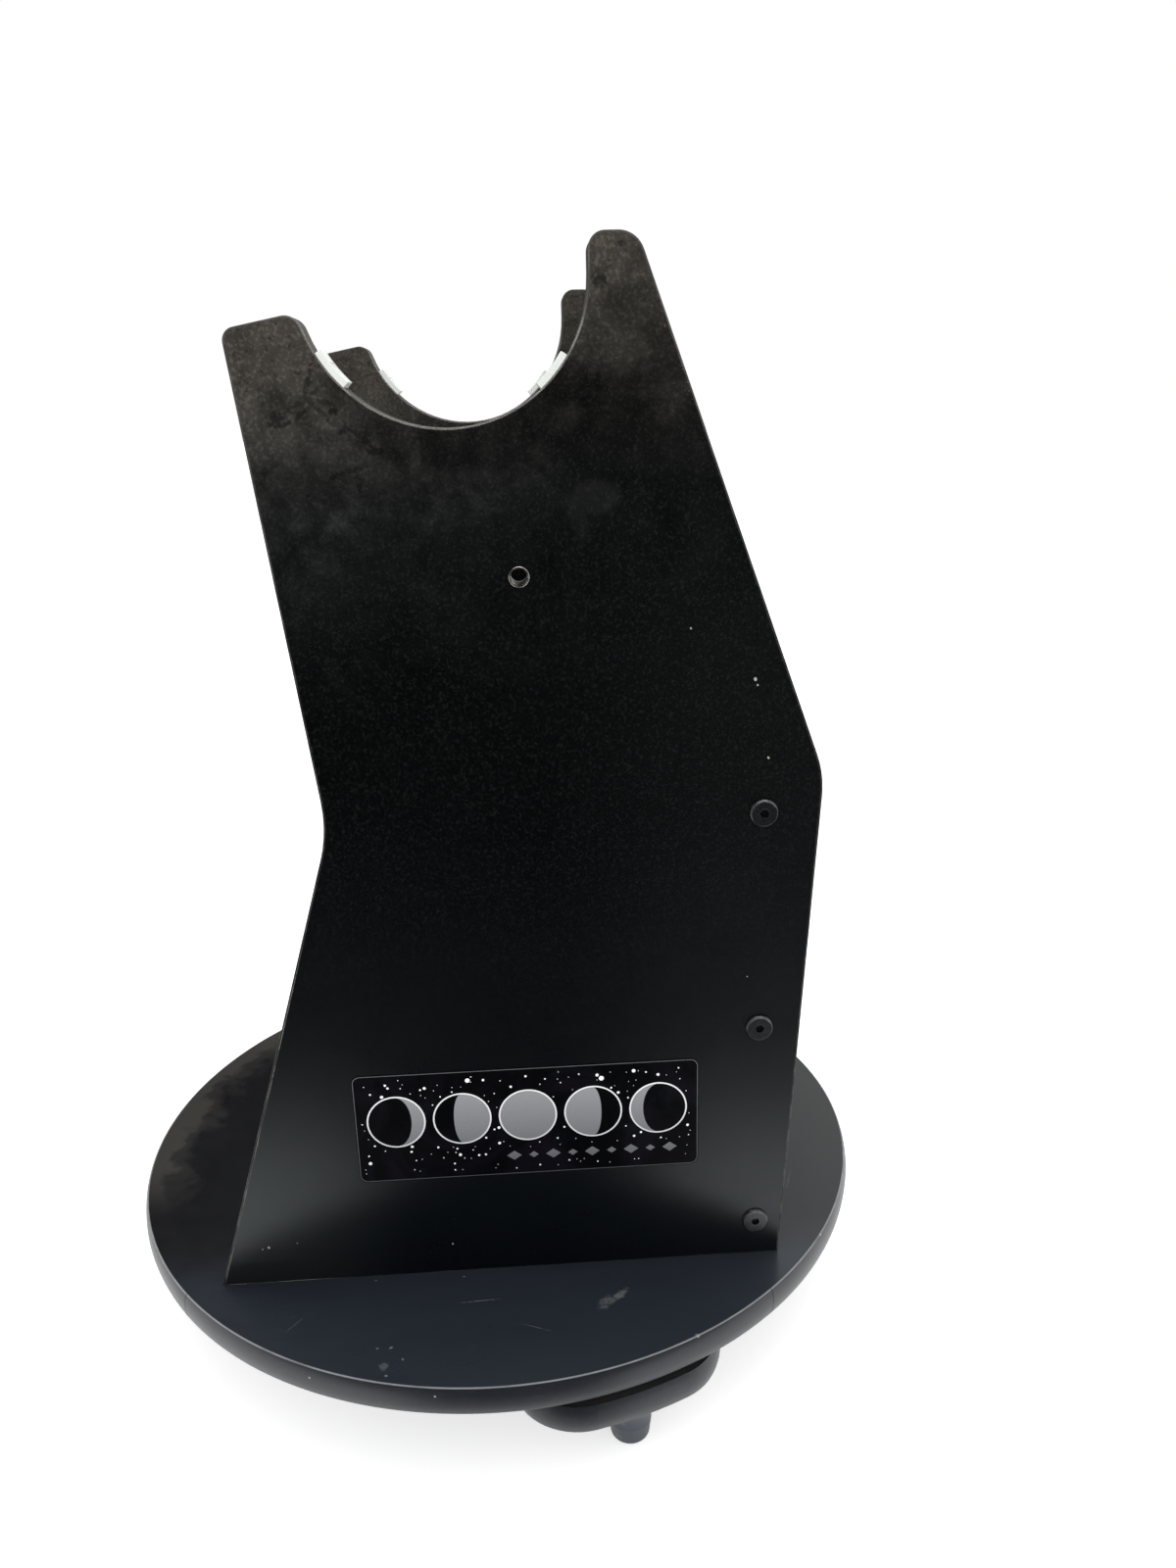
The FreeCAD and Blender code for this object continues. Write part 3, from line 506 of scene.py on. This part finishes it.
def white_plastic(name):
    q = Mat(name)
    fine = q.noise(500.0, 3.0, 0.6)
    cloud = q.noise(90.0, 4.0, 0.6)
    smut = q.step(q.noise(45.0, 5.0, 0.65), 0.54, 0.78)
    color = q.mix(cloud, (0.62, 0.64, 0.61), (0.74, 0.76, 0.72))
    color = q.mix(q.mul(smut, 0.14), color, (0.30, 0.29, 0.25))
    rub = q.noise(300.0, 2.0, 0.5, vec=q.scaled(1, 0.06, 1))
    return q.finish(color, q.add(0.36, q.mul(cloud, 0.18)),
                    q.bump(q.add(fine, rub), 0.15, 0.0002), sss=0.2)


def steel(name, tint=(0.55, 0.55, 0.53)):
    q = Mat(name)
    hair = q.noise(90.0, 3.0, 0.6, vec=q.scaled(1, 1, 22))
    cloud = q.noise(120.0, 3.0, 0.6)
    spot = q.step(q.noise(300.0, 4.0, 0.7), 0.58, 0.72)
    color = q.mix(cloud, tuple(c * 0.72 for c in tint), tint)
    color = q.mix(q.mul(spot, 0.5), color, (0.22, 0.17, 0.12))
    return q.finish(color, q.add(0.20, q.add(q.mul(cloud, 0.20), q.mul(spot, 0.2))),
                    q.bump(hair, 0.12, 0.0002), metallic=1.0)


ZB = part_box("panel_screws")
SCREW_Z = (ZB[0].z + 0.0095, (ZB[0].z + ZB[1].z) / 2.0, ZB[1].z - 0.0095)


def black_screw(name):
    q = Mat(name)
    fine = q.noise(800.0, 3.0, 0.6)
    cloud = q.noise(200.0, 3.0, 0.6)
    wear = q.edge(0.0011)
    brk = q.step(q.noise(260.0, 3.0, 0.6), 0.35, 0.6, 0.35, 1.0)
    color = q.mix(cloud, (0.045, 0.048, 0.051), (0.080, 0.084, 0.088))
    # a faint rub on every edge is wear; the upper rims carry a painted highlight, bright where light
    # from above would catch them
    upper = None
    for zc in SCREW_Z:
        d = q.sub(q.z, zc)
        e = q.mul(q.step(d, 0.0030, 0.0062), q.step(d, 0.0125, 0.0115))
        upper = e if upper is None else q.math("MAXIMUM", upper, e)
    rim = q.mul(wear, q.add(0.10, q.mul(upper, 0.9)))
    color = q.mix(q.mul(rim, q.add(0.4, q.mul(brk, 0.6))), color, (0.80, 0.80, 0.79))
    return q.finish(color, q.fmix(rim, q.add(0.26, q.mul(cloud, 0.14)), 0.44),
                    q.bump(fine, 0.15, 0.0002), metallic=0.9)


def nylon(name):
    q = Mat(name)
    fine = q.noise(400.0, 3.0, 0.6)
    swirl = q.noise(40.0, 4.0, 0.6, 1.0)
    color = q.mix(swirl, (0.52, 0.49, 0.41), (0.68, 0.66, 0.58))
    return q.finish(color, q.add(0.36, q.mul(swirl, 0.15)), q.bump(fine, 0.15, 0.0002), sss=0.2)


def laminate(name):
    q = Mat(name)
    v = q.voronoi(900.0)
    track = q.wave(120.0, 1.5, "X", detail=2.0)
    color = q.mix(v, (0.016, 0.016, 0.016), (0.040, 0.040, 0.038))
    return q.finish(color, q.add(0.24, q.mul(track, 0.14)), q.bump(v, 0.3, 0.0003))


def foot_plastic(name):
    q = Mat(name)
    fine = q.noise(700.0, 3.0, 0.6)
    cloud = q.noise(80.0, 4.0, 0.6)
    scuff = q.step(q.noise(130.0, 4.0, 0.65), 0.55, 0.72)
    low = q.step(q.z, 0.010, 0.001)
    color = q.mix(cloud, (0.026, 0.034, 0.047), (0.040, 0.049, 0.064))
    color = q.mix(q.mul(scuff, q.add(0.25, q.mul(low, 0.4))), color, (0.20, 0.20, 0.20))
    return q.finish(color, q.add(0.36, q.mul(cloud, 0.2)), q.bump(fine, 0.2, 0.0003))


def label_mat(name):
    q = Mat(name)
    c = q.noise(22.0, 5.0, 0.6, 0.8)
    c2 = q.noise(60.0, 5.0, 0.65)
    color = q.mix(q.step(c, 0.40, 0.72), (0.0014, 0.0016, 0.0026), (0.0048, 0.0040, 0.0072))
    color = q.mix(q.mul(q.step(c2, 0.55, 0.75), 0.35), color, (0.006, 0.009, 0.014))
    return q.finish(color, q.add(0.30, q.mul(c2, 0.10)), q.bump(q.noise(250.0), 0.04, 0.0002),
                    spec=0.06)


def print_mat(name, lo, hi, z0, z1):
    """Printed ink, graded from lo at height z0 to hi at z1."""
    q = Mat(name)
    g = q.lin(q.z, z0, z1)
    fleck = q.noise(900.0, 2.0, 0.5)
    color = q.mix(g, lo, hi)
    color = q.mix(q.step(fleck, 0.60, 0.72, 0.0, 0.25), color, tuple(c * 0.6 for c in lo))
    return q.finish(color, q.add(0.30, q.mul(fleck, 0.15)), q.bump(fleck, 0.05, 0.0001), spec=0.5)


mats = {
    "side_panel_near": melamine("melamine_near_panel", "near"),
    "side_panel_far": melamine("melamine_far_panel", "far"),
    "front_brace": melamine("melamine_brace", "brace"),
    "rocker_base_board": melamine("melamine_disc", "disc"),
    "ground_board": melamine("melamine_ground", "ground"),
}
band = banding("edge_banding")
vin = vinyl("vinyl_moulding")
vin_disc = vinyl("vinyl_moulding_disc", lip=0.2598)
wp = white_plastic("white_bearing")
st = steel("zinc_steel")
bs = black_screw("black_screw")
ny = nylon("nylon")
lam = laminate("running_laminate")
fp = foot_plastic("foot_plastic")
lb = label_mat("label_vinyl")
nk = steel("nickel", (0.80, 0.78, 0.74))
for n in N:
    if n in mats:
        continue
    if "edge_band" in n or n == "brace_top_band":
        mats[n] = band
    elif "moulding" in n:
        mats[n] = vin
    elif n.startswith("altitude_pad_t") or n in ("azimuth_pad_nails", "foot_screws"):
        mats[n] = st
    elif "altitude_pad" in n or "azimuth_pad" in n:
        mats[n] = wp
    elif n in ("panel_screws", "base_screws"):
        mats[n] = bs
    elif n in ("pivot_bushing", "locknut_insert"):
        mats[n] = ny
    elif n.startswith("pivot"):
        mats[n] = st
    elif n == "azimuth_track":
        mats[n] = lam
    elif n.startswith("foot"):
        mats[n] = fp
    elif n.startswith("spring"):
        mats[n] = nk
    elif n == "name_label":
        mats[n] = lb
    else:
        raise RuntimeError(n)
for n, o in N.items():
    o.data.materials.clear()
    o.data.materials.append(mats[n])

BEVEL = {"side_panel_near": 0.12, "side_panel_far": 0.12, "front_brace": 0.3,
         "brace_top_band": 0.3, "panel_edge_band_near": 0.3, "panel_edge_band_far": 0.3,
         "altitude_pad_near_rear": 0.3, "altitude_pad_near_front": 0.3,
         "altitude_pad_far_rear": 0.3, "altitude_pad_far_front": 0.3,
         "panel_screws": 0.85, "base_screws": 0.3, "pivot_bolt": 0.2,
         "pivot_locknut": 0.2, "pivot_washer_upper": 0.25, "pivot_washer_lower": 0.25,
         "azimuth_pad_front": 0.3, "azimuth_pad_far": 0.3, "azimuth_pad_rear": 0.3,
         "spring_bushing_near": 0.1, "spring_bushing_far": 0.1}
for n, w in BEVEL.items():
    o = N[n]
    wd = o.modifiers.new("weld", "WELD")
    wd.merge_threshold = 1e-6
    bv = o.modifiers.new("bevel", "BEVEL")
    bv.width = w * MM
    bv.segments = 2
    bv.limit_method = "ANGLE"
    bv.angle_limit = math.radians(35)
    bv.use_clamp_overlap = True
    bv.harden_normals = False


# ------------------------------------------------------------- new pieces
def mesh_piece(name, verts, faces, mat, body="rocker", smooth=True):
    me = bpy.data.meshes.new(name)
    me.from_pydata([tuple(v) for v in verts], [], faces)
    me.validate()
    bm = bmesh.new()
    bm.from_mesh(me)
    bmesh.ops.recalc_face_normals(bm, faces=bm.faces)
    bm.to_mesh(me)
    bm.free()
    me.update()
    o = bpy.data.objects.new(name, me)
    SCENE.collection.objects.link(o)
    me.materials.append(mat)
    if smooth:
        me.shade_smooth()
        me.set_sharp_from_angle(angle=math.radians(40))
    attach(o, body)
    return o


# vinyl moulding of the rocker base: two lengths with butt joints, a rounded
# face, fine lips over the board's corners, and a tongue in the kerf
mb0, mb1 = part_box("rocker_base_moulding")
db0, db1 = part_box("rocker_base_board")
R_CROWN, R_BOARD = mb1.x, db1.x
ZC = (db0.z + db1.z) / 2.0
HALF = (db1.z - db0.z) / 2.0


def moulding_profile():
    half, lipz = HALF / MM, (mb1.z - db1.z) / MM
    rb, rc = R_BOARD / MM, R_CROWN / MM
    up_side = [(rb, 0.8), (rb, half), (rb - 0.0, half + lipz * 0.55),
               (rb + 0.12, half + lipz * 0.90), (rb + 0.35, half + lipz),
               (rb + 0.62, half + lipz * 0.93), (rb + 0.85, half + lipz * 0.62)]
    face = []
    rl, zl = rb + 1.02, half + lipz * 0.10
    for i in range(13):
        t = i / 12.0
        zz = zl * (1.0 - t)
        # elliptical crown, fuller than an arc near the lips
        x = rl + (rc - rl) * (1.0 - (zz / zl) ** 2.15)
        face.append((x, zz))
    top = up_side + face[0:]
    low = [(r, -z) for r, z in reversed(top[:-1])]
    tongue = [(rb - 9.0, -0.8), (rb - 9.0, 0.8)]
    return [(r * MM, z * MM + ZC) for r, z in top + low + tongue]


PROF = moulding_profile()
SEAMS = (math.radians(-139.6), math.radians(-49.2))
GAP = 0.00022


def arc_sweep(name, a0, a1, steps):
    verts, faces = [], []
    k = len(PROF)
    rnd = random.Random(7)
    ph = [rnd.uniform(0, 6.28) for _ in range(4)]
    for i in range(steps + 1):
        t = i / steps
        a = a0 + (a1 - a0) * t
        wav = 0.00005 * (math.sin(9 * a + ph[0]) + math.sin(23 * a + ph[1])) - 0.0001
        for (r, z) in PROF:
            on_face = max(0.0, (r - R_BOARD) / (R_CROWN - R_BOARD))
            rr = r + wav * on_face
            verts.append((rr * math.cos(a), rr * math.sin(a), z))
    for i in range(steps):
        for j in range(k):
            j2 = (j + 1) % k
            faces.append((i * k + j, i * k + j2, (i + 1) * k + j2, (i + 1) * k + j))
    faces.append(tuple(range(k)))
    faces.append(tuple((steps * k + j) for j in reversed(range(k))))
    return mesh_piece(name, verts, faces, vin_disc)


g = GAP / R_CROWN
m1 = arc_sweep("disc_moulding_long", SEAMS[1] + g, SEAMS[0] + 2 * math.pi - g, 420)
m2 = arc_sweep("disc_moulding_short", SEAMS[0] + g, SEAMS[1] - g, 140)
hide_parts("rocker_base_moulding")
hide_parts("rocker_base_moulding")


# ------------------------------------------------- printed part of the label
lb0, lb1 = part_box("name_label")
LX, LZ = (lb0.x + lb1.x) / 2.0, (lb0.z + lb1.z) / 2.0
LW, LH = (lb1.x - lb0.x) / MM, (lb1.z - lb0.z) / MM
LY = lb0.y
INK = 0.00004


class Prints:
    """Thin closed flat shapes on the label, gathered in one mesh."""

    def __init__(self):
        self.v, self.f = [], []

    def poly(self, pts, lift=0.0):
        """pts in label millimetres, anticlockwise; convex or strip ends."""
        k = len(pts)
        b = len(self.v)
        for y in (LY - lift, LY - lift - INK):
            for (u, w) in pts:
                self.v.append((LX + u * MM, y, LZ + w * MM))
        self.f.append(tuple(b + i for i in range(k)))
        self.f.append(tuple(b + k + i for i in reversed(range(k))))
        for i in range(k):
            j = (i + 1) % k
            self.f.append((b + i, b + k + i, b + k + j, b + j))

    def strip(self, outer, inner, lift=0.0):
        """Closed ring between two outlines with the same number of points."""
        k = len(outer)
        b = len(self.v)
        for pts in (outer, inner):
            for y in (LY - lift, LY - lift - INK):
                for (u, w) in pts:
                    self.v.append((LX + u * MM, y, LZ + w * MM))
        oo, of, ii, iif = b, b + k, b + 2 * k, b + 3 * k
        for i in range(k):
            j = (i + 1) % k
            self.f.append((oo + i, oo + j, ii + j, ii + i))
            self.f.append((of + i, iif + i, iif + j, of + j))
            self.f.append((oo + i, of + i, of + j, oo + j))
            self.f.append((ii + i, ii + j, iif + j, iif + i))

    def dot(self, u, w, r, k=10, lift=0.0):
        self.poly([(u + r * math.cos(2 * math.pi * i / k), w + r * math.sin(2 * math.pi * i / k))
                   for i in range(k)], lift)

    def make(self, name, mat):
        o = mesh_piece(name, self.v, self.f, mat, smooth=False)
        return o


def rrect(hw, hh, r, k=6):
    pts = []
    for (cx, cy, a0) in ((hw - r, hh - r, 0), (-hw + r, hh - r, 90), (-hw + r, -hh + r, 180),
                         (hw - r, -hh + r, 270)):
        for i in range(k + 1):
            a = math.radians(a0 + 90.0 * i / k)
            pts.append((cx + r * math.cos(a), cy + r * math.sin(a)))
    return pts


rnd = random.Random(41)
key = Prints()
key.strip(rrect(LW / 2 - 0.5, LH / 2 - 0.5, 4.6), rrect(LW / 2 - 0.95, LH / 2 - 0.95, 4.2))
key.make("label_keyline", print_mat("ink_keyline", (0.065, 0.070, 0.078), (0.11, 0.115, 0.125),
                                    LZ - 0.03, LZ + 0.03))
stars = Prints()
placed = []
MOONS = [(-81.0, 18.0), (-40.5, 18.0), (0.0, 18.0), (40.5, 18.0), (81.0, 18.0)]
MOON_W = 4.5
for i in range(1200):
    if len(placed) >= 130:
        break
    u = rnd.uniform(-LW / 2 + 4, LW / 2 - 4)
    w = rnd.uniform(-LH / 2 + 4, LH / 2 - 4)
    if any((u - mu) ** 2 + (w - MOON_W) ** 2 < (mr + 1.6) ** 2 for mu, mr in MOONS):
        continue
    if abs(w + 24.0) < 5.2 and -18 < u < 97:
        continue
    if any((u - a) ** 2 + (w - b) ** 2 < 6.0 for a, b in placed):
        continue
    placed.append((u, w))
    r = 0.24 + 0.85 * rnd.random() ** 4.5
    stars.dot(u, w, r, 8)
for (u, w, r) in ((-36.0, 31.0, 1.5), (46.0, 27.5, 1.6), (66.0, 31.5, 1.2), (-99.0, -24.0, 1.1)):
    stars.dot(u, w, r, 12)
stars.make("label_stars", print_mat("ink_star", (0.80, 0.81, 0.84), (0.90, 0.91, 0.93),
                                    LZ - 0.03, LZ + 0.03))

edge_ink = Prints()
fill_ink = Prints()
PHASES = [-0.55, 0.30, 1.0, 0.30, -0.55]
K = 40
for i, ((mu, mr), ph) in enumerate(zip(MOONS, PHASES)):
    c = (mu, MOON_W)
    circ = [(c[0] + mr * math.cos(2 * math.pi * j / 64), c[1] + mr * math.sin(2 * math.pi * j / 64))
            for j in range(64)]
    inn = [(c[0] + (mr - 0.95) * math.cos(2 * math.pi * j / 64),
            c[1] + (mr - 0.95) * math.sin(2 * math.pi * j / 64)) for j in range(64)]
    edge_ink.strip(circ, inn)
    rr = mr - 0.95
    if i == 2:
        fill_ink.dot(c[0], c[1], rr, 64)
        continue
    sgn = 1.0 if i < 2 else -1.0
    # lit limb on one side, terminator ellipse on the other, as a quad strip
    n0 = 30
    base = len(fill_ink.v)
    rows = []
    for j in range(n0 + 1):
        a = -math.pi / 2 + math.pi * j / n0
        w = c[1] + rr * math.sin(a)
        limb = c[0] + sgn * rr * math.cos(a)
        term = c[0] - sgn * ph * rr * math.cos(a)
        rows.append((limb, term, w))
    k = n0 + 1
    outline = [(l, w) for l, t, w in rows] + [(t, w) for l, t, w in reversed(rows[1:-1])]
    if sgn < 0:
        outline = list(reversed(outline))
    # strip faces keep every face convex
    b = len(fill_ink.v)
    for y in (LY, LY - INK):
        for (l, t, w) in rows:
            fill_ink.v.append((LX + l * MM, y, LZ + w * MM))
            fill_ink.v.append((LX + t * MM, y, LZ + w * MM))
    s2 = 2 * k
    for j in range(n0):
        a0, a1, b0, b1 = b + 2 * j, b + 2 * j + 1, b + 2 * j + 2, b + 2 * j + 3
        fill_ink.f.append((a0, a1, b1, b0))
        fill_ink.f.append((s2 + a0, s2 + b0, s2 + b1, s2 + a1))
        fill_ink.f.append((a0, b0, s2 + b0, s2 + a0))
        fill_ink.f.append((a1, s2 + a1, s2 + b1, b1))
# a row of small lozenges under the moons
for j in range(9):
    u, w = -9.5 + j * 12.2, -24.0
    hx, hz = (4.6, 3.3) if j % 2 == 0 else (3.0, 2.2)
    fill_ink.poly([(u + hx, w), (u, w + hz), (u - hx, w), (u, w - hz)])
edge_ink.make("label_moon_rings", print_mat("ink_ring", (0.50, 0.505, 0.52), (0.82, 0.825, 0.84),
                                            LZ - 0.025, LZ + 0.02))
fo = fill_ink.make("label_moon_faces", print_mat("ink_silver", (0.10, 0.104, 0.114),
                                                 (0.27, 0.275, 0.29), LZ - 0.030, LZ + 0.020))
for o in [fo]:
    bm = bmesh.new()
    bm.from_mesh(o.data)
    bmesh.ops.remove_doubles(bm, verts=bm.verts, dist=1e-6)
    bmesh.ops.dissolve_degenerate(bm, edges=bm.edges, dist=1e-6)
    bm.to_mesh(o.data)
    bm.free()


# ----------------------------------------------------------------- stage
def plane(name, corners, mat, seen=True):
    me = bpy.data.meshes.new(name)
    me.from_pydata(corners, [], [(0, 1, 2, 3)])
    o = bpy.data.objects.new(name, me)
    SCENE.collection.objects.link(o)
    me.materials.append(mat)
    if not seen:
        o.visible_camera = False
        o.visible_diffuse = False
        o.visible_shadow = False
        o.visible_transmission = False
    return o


def flat(x0, x1, y0, y1, z):
    return [(x0, y0, z), (x1, y0, z), (x1, y1, z), (x0, y1, z)]


def wall(x0, x1, y, z0, z1):
    return [(x0, y, z0), (x1, y, z0), (x1, y, z1), (x0, y, z1)]


fm = Mat("floor_paint")
fm.finish(fm.mix(fm.noise(3.0, 3.0), (0.80, 0.80, 0.80), (0.83, 0.83, 0.83)), 0.6, spec=0.2)
# the sweep is lit from within, like a lit shooting table
fm.b.inputs["Emission Color"].default_value = (1.0, 1.0, 1.0, 1.0)
fm.b.inputs["Emission Strength"].default_value = 0.62
plane("floor", flat(-30, 30, -30, 30, 0.0), fm.m)


def flag_mat(name, make):
    """Black studio cloth; make(q) gives how opaque it is, from 0 to 1."""
    q = Mat(name)
    t = q.nt.nodes.new("ShaderNodeBsdfTransparent")
    mx = q.nt.nodes.new("ShaderNodeMixShader")
    q.link(make(q), mx.inputs[0])
    q.link(t.outputs[0], mx.inputs[1])
    q.link(q.b.outputs[0], mx.inputs[2])
    q.link(mx.outputs[0], q.out.inputs[0])
    q.finish((0.002, 0.002, 0.002), 1.0, spec=0.0)
    return q.m


# black cloths that the reflections see and the camera does not
def floor_cloth(q):
    # reaches nearer to the mount in the middle than at the sides
    off = q.math("ABSOLUTE", q.sub(q.x, 0.01))
    mid = q.step(off, 0.17, 0.06, 0.0, 0.115)
    return q.step(q.sub(q.y, mid), -0.335, -0.50)


plane("flag_floor", flat(-1.7, 1.7, -2.4, -0.268, 0.003), flag_mat("cloth_floor", floor_cloth),
      False)
plane("flag_front", wall(-5.0, 5.0, -2.4, 0.0, 4.2),
      flag_mat("cloth_front", lambda q: q.step(q.z, 4.1, 2.8)), False)
plane("flag_rear", wall(-6.0, 1.3, 2.6, 0.20, 6.0),
      flag_mat("cloth_rear", lambda q: q.step(q.x, 0.9, 0.1)), False)
plane("flag_left", [(-2.2, -2.4, 0.35), (-2.2, 2.6, 0.35), (-2.2, 2.6, 3.4), (-2.2, -2.4, 3.4)],
      flag_mat("cloth_left", lambda q: q.step(q.z, 0.4, 0.9, 0.2, 0.9)), False)

w = bpy.data.worlds.new("world")
SCENE.world = w
w.use_nodes = True
bg = w.node_tree.nodes["Background"]
bg.inputs[0].default_value = (1.0, 1.0, 1.0, 1.0)
bg.inputs[1].default_value = 1.0


def area(name, loc, target, size, power, color=(1, 1, 1)):
    d = bpy.data.lights.new(name, "AREA")
    d.shape = "RECTANGLE"
    d.size, d.size_y = size
    d.energy = power
    d.color = color
    o = bpy.data.objects.new(name, d)
    o.location = loc
    o.rotation_mode = "QUATERNION"
    o.rotation_quaternion = (Vector(target) - Vector(loc)).to_track_quat("-Z", "Y")
    SCENE.collection.objects.link(o)
    return o


area("softbox_top", (0.1, 0.35, 2.4), (0, 0.05, 0), (1.8, 1.4), 34)
